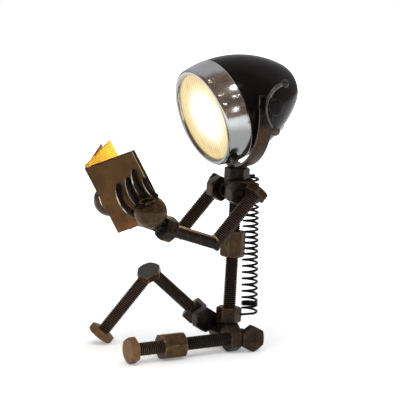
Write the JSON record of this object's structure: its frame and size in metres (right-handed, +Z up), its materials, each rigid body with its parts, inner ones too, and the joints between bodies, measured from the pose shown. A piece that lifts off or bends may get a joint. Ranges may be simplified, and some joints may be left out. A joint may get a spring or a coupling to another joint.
{
  "type": "robot shaped desk lamp",
  "caption": "Seated figure of welded rods, nuts and bolts that reads a folded metal book; its head is a headlamp that tilts in a U-shaped yoke.",
  "frame": {"origin": "on the table top, in the middle of the footprint; the plane between the figure's left and right halves is at x = 9.9 mm", "axes": "+Z up, the figure faces -Y, its left side is +X"},
  "size_m": [0.2118, 0.2962, 0.3738],
  "materials": {
    "threaded_steel": "oiled threaded rod, oxidised dark brown",
    "rusty_steel": "oxidised nut faces, brown with tan and rust lights",
    "dark_steel": "waxed dark oxidised steel",
    "weld_bead": "heat-tinted weld bead",
    "book_sheet": "aged sheet, brown-olive turning rust-orange",
    "book_gold": "polished golden sheet",
    "spring_steel": "black oiled spring wire",
    "yoke_iron": "flat bar, reddish-brown mill scale",
    "black_enamel": "gloss black stove enamel",
    "chrome_rim": "bright chrome with light scuffs",
    "lens_glass": "clear pressed glass with upright flutes",
    "bulb_glass": "frosted lamp bulb",
    "black_rubber": "black moulded rubber",
    "reflector_silver": "silvered reflector bowl",
    "plain_steel": "plated spring steel",
    "cap_brass": "bulb cap",
    "holder_plastic": "black lamp holder"
  },
  "bodies": {
    "figure": {"near_leg_bolt": "threaded_steel", "near_knee_nut": "rusty_steel", "near_hip_nut": "rusty_steel", "near_seat_bolt": "rusty_steel", "far_seat_bolt": "rusty_steel", "far_thigh_bolt": "dark_steel", "far_thigh_nut": "dark_steel", "far_shin_bolt": "threaded_steel", "far_knee_head": "dark_steel", "far_hip_hex": "dark_steel", "pelvis_nut": "rusty_steel", "hip_nut": "rusty_steel", "spine_rod": "threaded_steel", "chest_nut": "rusty_steel", "collar_nut": "dark_steel", "neck_nut": "dark_steel", "left_shoulder_nut": "dark_steel", "right_shoulder_nut": "dark_steel", "left_arm_bolt": "threaded_steel", "right_arm_bolt": "threaded_steel", "left_forearm": "dark_steel", "right_forearm": "dark_steel", "left_wrist_nut": "dark_steel", "right_wrist_nut": "dark_steel", "left_palm": "dark_steel", "right_palm": "dark_steel", "left_fingers": "dark_steel", "right_fingers": "dark_steel", "torso_welds": "weld_bead", "hip_welds": "weld_bead", "left_elbow_weld": "weld_bead", "right_elbow_weld": "weld_bead", "book_cover": "book_sheet", "book_page": "book_gold", "book_lining": "book_gold", "spring": "spring_steel", "yoke": "yoke_iron"},
    "headlamp": {"shell": "black_enamel", "rim": "chrome_rim", "rim_screw": "dark_steel", "lens": "lens_glass", "lens_gasket": "black_rubber", "reflector": "reflector_silver", "retaining_ring": "plain_steel", "lamp_holder": "holder_plastic", "bulb_cap": "cap_brass", "bulb_glass": "bulb_glass", "cable_grommet": "black_rubber", "left_boss": "dark_steel", "right_boss": "dark_steel", "pivot_bolt": "dark_steel", "pivot_washer": "dark_steel", "clamp_washer": "dark_steel", "clamp_stud": "dark_steel"},
    "clamp": {"clamp_lever": "dark_steel"}
  },
  "joints": [
    {"name": "head_tilt", "type": "hinge", "parent": "figure", "child": "headlamp", "pos_m": [0.0099, 0.06596, 0.31508], "axis": [1, 0, 0], "range_deg": [-40, 5]},
    {"name": "clamp_turn", "type": "hinge", "parent": "headlamp", "child": "clamp", "pos_m": [0.0099, 0.06596, 0.31508], "axis": [1, 0, 0], "range_deg": [0, 120]}
  ]
}
